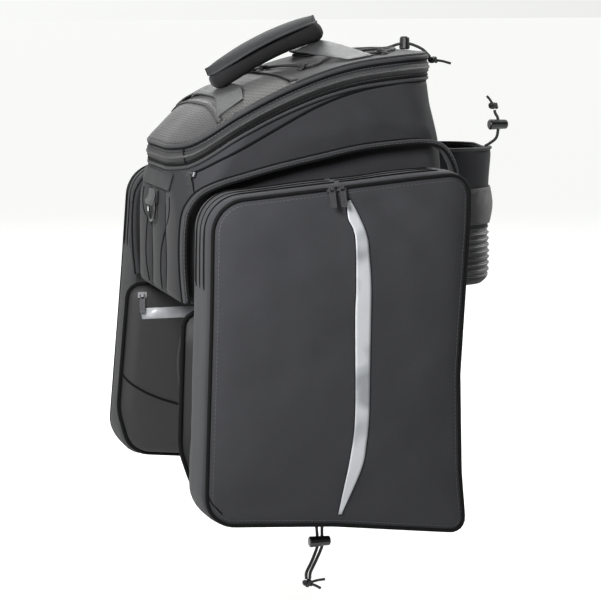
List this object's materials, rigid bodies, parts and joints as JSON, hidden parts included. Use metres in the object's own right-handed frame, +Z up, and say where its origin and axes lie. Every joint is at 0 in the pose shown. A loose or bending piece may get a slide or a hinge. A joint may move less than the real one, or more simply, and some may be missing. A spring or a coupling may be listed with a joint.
{
  "type": "bicycle trunk bag",
  "caption": "Soft rack bag for a bicycle with a sloping zipped top compartment, fold-down side panniers, a carry handle and a rear bottle pocket.",
  "frame": {"origin": "middle of the seat on the rack, on the underside of the hidden plate under the floor", "axes": "+Z up, +X to the rear of the bicycle, Y across it, with the side nearer the viewer of the picture at -Y"},
  "size_m": [0.3811, 0.4018, 0.5451],
  "materials": {
    "board_slider_far": "dull grey zip metal",
    "board_slider_near": "dull grey zip metal",
    "board_strip_far": "silver reflective tape",
    "board_strip_near": "silver reflective tape",
    "board_tab_far": "dull grey zip metal",
    "board_tab_near": "dull grey zip metal",
    "bottle_pocket": "woven ballistic cloth",
    "frame_pull_far": "black round braided cord",
    "frame_pull_near": "black round braided cord",
    "frame_slider_far": "dull grey zip metal",
    "frame_slider_near": "dull grey zip metal",
    "front_patch": "flat black webbing",
    "front_ring": "black moulded plastic",
    "front_ring_loop": "flat black webbing",
    "front_slider_a_far": "dull grey zip metal",
    "front_slider_a_near": "dull grey zip metal",
    "front_slider_b_far": "dull grey zip metal",
    "front_slider_b_near": "dull grey zip metal",
    "front_tab_a_far": "dull grey zip metal",
    "front_tab_a_near": "dull grey zip metal",
    "front_tab_b_far": "dull grey zip metal",
    "front_tab_b_near": "dull grey zip metal",
    "handle_grip": "black foam and cloth",
    "handle_pad": "smooth moulded foam board",
    "handle_strap_front": "flat black webbing",
    "handle_strap_rear": "flat black webbing",
    "lid_band": "woven ballistic cloth",
    "lid_cord_a": "black round braided cord",
    "lid_cord_b": "black round braided cord",
    "lid_cord_knot": "black round braided cord",
    "lid_cord_lock": "black moulded plastic",
    "lid_cord_loop_1": "flat black webbing",
    "lid_cord_loop_2": "flat black webbing",
    "lid_cord_loop_3": "flat black webbing",
    "lid_cord_loop_4": "flat black webbing",
    "lid_slider": "dull grey zip metal",
    "lid_top": "coarse grey-brown mesh over padding",
    "light_strap": "black foam and cloth",
    "pannier_board_far": "smooth moulded foam board",
    "pannier_board_near": "smooth moulded foam board",
    "pannier_body_far": "woven ballistic cloth",
    "pannier_body_near": "woven ballistic cloth",
    "pannier_cord_a": "black round braided cord",
    "pannier_cord_b": "black round braided cord",
    "pannier_cord_knot": "black round braided cord",
    "pannier_cord_lock": "black moulded plastic",
    "pannier_front_far": "woven ballistic cloth",
    "pannier_front_near": "woven ballistic cloth",
    "pannier_stripe_far": "silver reflective tape",
    "pannier_stripe_near": "silver reflective tape",
    "pocket_cord": "black round braided cord",
    "pocket_cord_knot": "black round braided cord",
    "pocket_cord_lock": "black moulded plastic",
    "rack_plate": "black moulded plastic",
    "rear_ring": "black moulded plastic",
    "rear_ring_loop": "flat black webbing",
    "trunk_shell": "woven ballistic cloth",
    "zip_frame_far": "flat black webbing",
    "zip_frame_near": "flat black webbing"
  },
  "bodies": {
    "bag": {"board_slider_far": "board_slider_far", "board_slider_near": "board_slider_near", "board_strip_far": "board_strip_far", "board_strip_near": "board_strip_near", "bottle_pocket": "bottle_pocket", "frame_pull_far": "frame_pull_far", "frame_pull_near": "frame_pull_near", "frame_slider_far": "frame_slider_far", "frame_slider_near": "frame_slider_near", "front_patch": "front_patch", "front_ring_loop": "front_ring_loop", "front_slider_a_far": "front_slider_a_far", "front_slider_a_near": "front_slider_a_near", "front_slider_b_far": "front_slider_b_far", "front_slider_b_near": "front_slider_b_near", "handle_grip": "handle_grip", "handle_pad": "handle_pad", "handle_strap_front": "handle_strap_front", "handle_strap_rear": "handle_strap_rear", "lid_band": "lid_band", "lid_cord_a": "lid_cord_a", "lid_cord_b": "lid_cord_b", "lid_cord_knot": "lid_cord_knot", "lid_cord_lock": "lid_cord_lock", "lid_cord_loop_1": "lid_cord_loop_1", "lid_cord_loop_2": "lid_cord_loop_2", "lid_cord_loop_3": "lid_cord_loop_3", "lid_cord_loop_4": "lid_cord_loop_4", "lid_slider": "lid_slider", "lid_top": "lid_top", "light_strap": "light_strap", "pannier_board_far": "pannier_board_far", "pannier_board_near": "pannier_board_near", "pannier_body_far": "pannier_body_far", "pannier_body_near": "pannier_body_near", "pannier_cord_a": "pannier_cord_a", "pannier_cord_b": "pannier_cord_b", "pannier_cord_knot": "pannier_cord_knot", "pannier_cord_lock": "pannier_cord_lock", "pannier_front_far": "pannier_front_far", "pannier_front_near": "pannier_front_near", "pannier_stripe_far": "pannier_stripe_far", "pannier_stripe_near": "pannier_stripe_near", "pocket_cord": "pocket_cord", "pocket_cord_knot": "pocket_cord_knot", "pocket_cord_lock": "pocket_cord_lock", "rack_plate": "rack_plate", "rear_ring_loop": "rear_ring_loop", "trunk_shell": "trunk_shell", "zip_frame_far": "zip_frame_far", "zip_frame_near": "zip_frame_near"},
    "front_tab_a_near": {"front_tab_a_near": "front_tab_a_near"},
    "front_tab_b_near": {"front_tab_b_near": "front_tab_b_near"},
    "board_tab_near": {"board_tab_near": "board_tab_near"},
    "front_tab_a_far": {"front_tab_a_far": "front_tab_a_far"},
    "front_tab_b_far": {"front_tab_b_far": "front_tab_b_far"},
    "board_tab_far": {"board_tab_far": "board_tab_far"},
    "front_ring_body": {"front_ring": "front_ring"},
    "rear_ring_body": {"rear_ring": "rear_ring"}
  },
  "joints": [
    {"name": "front_tab_a_near_swing", "type": "hinge", "parent": "bag", "child": "front_tab_a_near", "pos_m": [-0.01755, -0.19051, 0.12309], "axis": [-0.9985, 0.0545, 0], "range_deg": [0, 80]},
    {"name": "front_tab_b_near_swing", "type": "hinge", "parent": "bag", "child": "front_tab_b_near", "pos_m": [-0.00755, -0.19051, 0.12397], "axis": [-0.9985, 0.0545, 0], "range_deg": [0, 80]},
    {"name": "board_tab_near_swing", "type": "hinge", "parent": "bag", "child": "board_tab_near", "pos_m": [-0.12208, -0.08546, -0.01003], "axis": [0.9853, 0.1706, 0], "range_deg": [0, 80]},
    {"name": "front_tab_a_far_swing", "type": "hinge", "parent": "bag", "child": "front_tab_a_far", "pos_m": [-0.00671, 0.1905, 0.12343], "axis": [0.9985, 0.0545, 0], "range_deg": [0, 80]},
    {"name": "front_tab_b_far_swing", "type": "hinge", "parent": "bag", "child": "front_tab_b_far", "pos_m": [0.00329, 0.1905, 0.12429], "axis": [0.9985, 0.0545, 0], "range_deg": [0, 80]},
    {"name": "board_tab_far_swing", "type": "hinge", "parent": "bag", "child": "board_tab_far", "pos_m": [-0.13249, 0.08547, -0.01], "axis": [-0.9853, 0.1706, 0], "range_deg": [0, 80]},
    {"name": "front_ring_swing", "type": "hinge", "parent": "bag", "child": "front_ring_body", "pos_m": [-0.14182, 0, 0.096], "axis": [0, 1, 0], "range_deg": [0, 80]},
    {"name": "rear_ring_swing", "type": "hinge", "parent": "bag", "child": "rear_ring_body", "pos_m": [0.12892, 0, 0.196], "axis": [0, -1, 0], "range_deg": [0, 80]}
  ]
}
